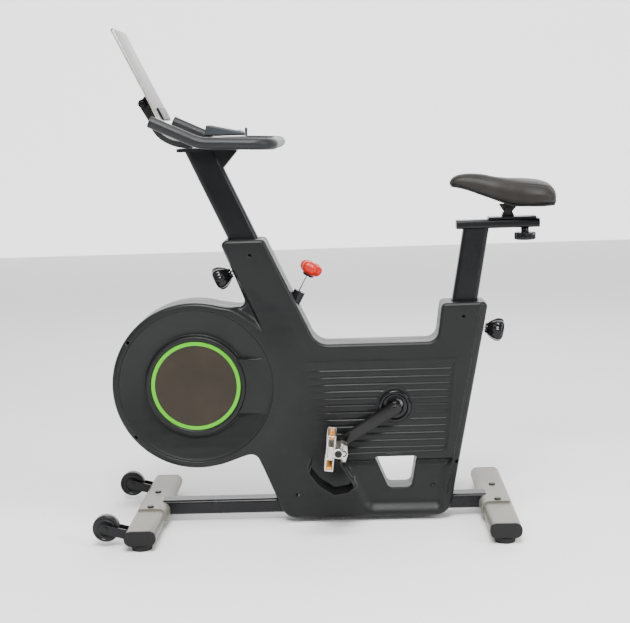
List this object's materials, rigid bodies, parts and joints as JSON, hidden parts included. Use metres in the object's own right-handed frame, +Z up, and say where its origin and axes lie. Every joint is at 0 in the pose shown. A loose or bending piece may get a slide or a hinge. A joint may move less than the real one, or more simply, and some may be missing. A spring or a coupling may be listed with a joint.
{
  "type": "exercise bike",
  "caption": "Upright indoor spin bike with enclosed flywheel, height-adjustable handlebar and seat, tilting tablet, pedals, levelling feet and transport wheels.",
  "frame": {"origin": "on the floor under the middle of the whole bike's box", "axes": "+Z up, the rider faces -X and sits towards +X, +Y is to the rider's right"},
  "size_m": [1.1666, 0.5, 1.2615],
  "materials": {
    "housing_plastic": "matt moulded dark grey plastic",
    "gloss_black": "glossy black plastic",
    "green_glow": "translucent green",
    "disc_brown": "fine matt dark brown",
    "black_paint": "satin black powder coat",
    "silver_paint": "satin warm silver powder coat",
    "zinc": "zinc plated",
    "chrome": "polished",
    "steel": "machined",
    "cast_iron": "machined rim",
    "alloy": "satin alloy",
    "rubber": "matt rubber",
    "wheel_rubber": "hard rubber",
    "belt_rubber": "ribbed belt",
    "red_plastic": "glossy red",
    "tablet_metal": "silver rim with glossy glass front",
    "saddle_vinyl": "grained soft vinyl",
    "pan_plastic": "textured black",
    "bar_coat": "dipped soft coating",
    "meter_plastic": "grey moulded"
  },
  "bodies": {
    "frame": {"base_rail": "black_paint", "front_stabilizer": "silver_paint", "rear_stabilizer": "silver_paint", "stabilizer_end_caps": "pan_plastic", "saddle_plates": "silver_paint", "base_fasteners": "zinc", "wheel_brackets": "black_paint", "front_sleeve": "black_paint", "rear_sleeve": "black_paint", "post_collars": "pan_plastic", "pin_barrels": "steel", "frame_bridge": "black_paint", "fork_plates": "black_paint", "bearings": "steel", "left_housing": "housing_plastic", "right_housing": "housing_plastic", "housing_screws": "zinc", "left_dish": "housing_plastic", "right_dish": "housing_plastic", "glow_rings": "green_glow", "centre_discs": "disc_brown", "crank_covers": "gloss_black", "tension_socket": "black_paint", "drive_belt": "belt_rubber"},
    "front_left_foot_body": {"front_left_foot": "rubber"},
    "front_right_foot_body": {"front_right_foot": "rubber"},
    "rear_left_foot_body": {"rear_left_foot": "rubber"},
    "rear_right_foot_body": {"rear_right_foot": "rubber"},
    "left_wheel_body": {"left_wheel": "wheel_rubber"},
    "right_wheel_body": {"right_wheel": "wheel_rubber"},
    "flywheel_body": {"flywheel": "cast_iron", "flywheel_axle": "steel", "flywheel_pulley": "alloy"},
    "crank_body": {"crank_axle": "steel", "left_crank_arm": "black_paint", "right_crank_arm": "black_paint", "crank_pulley": "alloy", "pedal_axles": "steel"},
    "left_pedal_body": {"left_pedal": "alloy", "left_toe_cage": "pan_plastic"},
    "right_pedal_body": {"right_pedal": "alloy", "right_toe_cage": "pan_plastic"},
    "magnet_body": {"magnet_arm": "steel"},
    "rod_body": {"tension_rod": "chrome"},
    "tension_knob_body": {"tension_knob": "red_plastic"},
    "front_pin_body": {"front_knob": "gloss_black"},
    "rear_pin_body": {"rear_knob": "gloss_black"},
    "handlebar_body": {"handlebar_post": "black_paint", "post_head": "black_paint", "handlebar": "bar_coat", "console_tray": "meter_plastic", "meter": "meter_plastic"},
    "tablet_body": {"tablet": "tablet_metal", "tablet_bracket": "pan_plastic"},
    "seat_post_body": {"seat_post": "black_paint", "seat_rail": "black_paint"},
    "carriage_body": {"seat_carriage": "black_paint"},
    "carriage_knob_body": {"carriage_knob": "gloss_black"},
    "saddle_body": {"saddle_cushion": "saddle_vinyl", "saddle_pan": "pan_plastic"}
  },
  "joints": [
    {"name": "front_left_foot_turn", "type": "hinge", "parent": "frame", "child": "front_left_foot_body", "pos_m": [-0.459, -0.22, 0], "axis": [0, 0, 1], "range_deg": [-360, 360]},
    {"name": "front_right_foot_turn", "type": "hinge", "parent": "frame", "child": "front_right_foot_body", "pos_m": [-0.459, 0.22, 0], "axis": [0, 0, 1], "range_deg": [-360, 360]},
    {"name": "rear_left_foot_turn", "type": "hinge", "parent": "frame", "child": "rear_left_foot_body", "pos_m": [0.4275, -0.22, 0], "axis": [0, 0, 1], "range_deg": [-360, 360]},
    {"name": "rear_right_foot_turn", "type": "hinge", "parent": "frame", "child": "rear_right_foot_body", "pos_m": [0.4275, 0.22, 0], "axis": [0, 0, 1], "range_deg": [-360, 360]},
    {"name": "left_wheel_spin", "type": "hinge", "parent": "frame", "child": "left_wheel_body", "pos_m": [-0.5493, -0.1946, 0.0475], "axis": [0, 1, 0], "continuous": true},
    {"name": "right_wheel_spin", "type": "hinge", "parent": "frame", "child": "right_wheel_body", "pos_m": [-0.5493, 0.1946, 0.0475], "axis": [0, 1, 0], "continuous": true},
    {"name": "flywheel_spin", "type": "hinge", "parent": "frame", "child": "flywheel_body", "pos_m": [-0.33, 0, 0.368], "axis": [0, 1, 0], "continuous": true},
    {"name": "crank_spin", "type": "hinge", "parent": "frame", "child": "crank_body", "pos_m": [0.173, 0, 0.303], "axis": [0, 1, 0], "continuous": true},
    {"name": "left_pedal_spin", "type": "hinge", "parent": "crank_body", "child": "left_pedal_body", "pos_m": [0.02805, -0.13, 0.21418], "axis": [0, 1, 0], "continuous": true},
    {"name": "right_pedal_spin", "type": "hinge", "parent": "crank_body", "child": "right_pedal_body", "pos_m": [0.31795, 0.13, 0.39182], "axis": [0, 1, 0], "continuous": true},
    {"name": "magnet_swing", "type": "hinge", "parent": "frame", "child": "magnet_body", "pos_m": [-0.16, 0, 0.522], "axis": [0, 1, 0], "range_deg": [-3.5, 0]},
    {"name": "brake_push", "type": "slide", "parent": "frame", "child": "rod_body", "axis": [-0.4787, 0, -0.878], "range_m": [0, 0.008], "stiffness_N_per_m": 3000},
    {"name": "tension_turn", "type": "hinge", "parent": "rod_body", "child": "tension_knob_body", "pos_m": [-0.06, 0, 0.597], "axis": [0.4787, 0, 0.878], "range_deg": [0, 720]},
    {"name": "front_pin_pull", "type": "slide", "parent": "frame", "child": "front_pin_body", "axis": [-0.9128, 0, -0.4083], "range_m": [0, 0.01], "stiffness_N_per_m": 1500},
    {"name": "rear_pin_pull", "type": "slide", "parent": "frame", "child": "rear_pin_body", "axis": [0.9854, 0, -0.1702], "range_m": [0, 0.01], "stiffness_N_per_m": 1500},
    {"name": "handlebar_height", "type": "slide", "parent": "frame", "child": "handlebar_body", "axis": [-0.4083, 0, 0.9128], "range_m": [-0.11, 0.06]},
    {"name": "tablet_tilt", "type": "hinge", "parent": "handlebar_body", "child": "tablet_body", "pos_m": [-0.434, 0, 1.079], "axis": [0, 1, 0], "range_deg": [-25, 8]},
    {"name": "seat_height", "type": "slide", "parent": "frame", "child": "seat_post_body", "axis": [0.1702, 0, 0.9854], "range_m": [-0.11, 0.08]},
    {"name": "seat_fore_aft", "type": "slide", "parent": "seat_post_body", "child": "carriage_body", "axis": [1, 0, 0], "range_m": [-0.04, 0.02]},
    {"name": "carriage_knob_turn", "type": "hinge", "parent": "carriage_body", "child": "carriage_knob_body", "pos_m": [0.511, 0, 0.7], "axis": [0, 0, 1], "range_deg": [-360, 360]},
    {"name": "saddle_tilt", "type": "hinge", "parent": "carriage_body", "child": "saddle_body", "pos_m": [0.468, 0, 0.786], "axis": [0, 1, 0], "range_deg": [-8, 8]}
  ],
  "couplings": [
    {"joint": "crank_spin", "follows": "flywheel_spin", "ratio": 0.22727},
    {"joint": "magnet_swing", "follows": "tension_turn", "ratio": -0.004861}
  ]
}
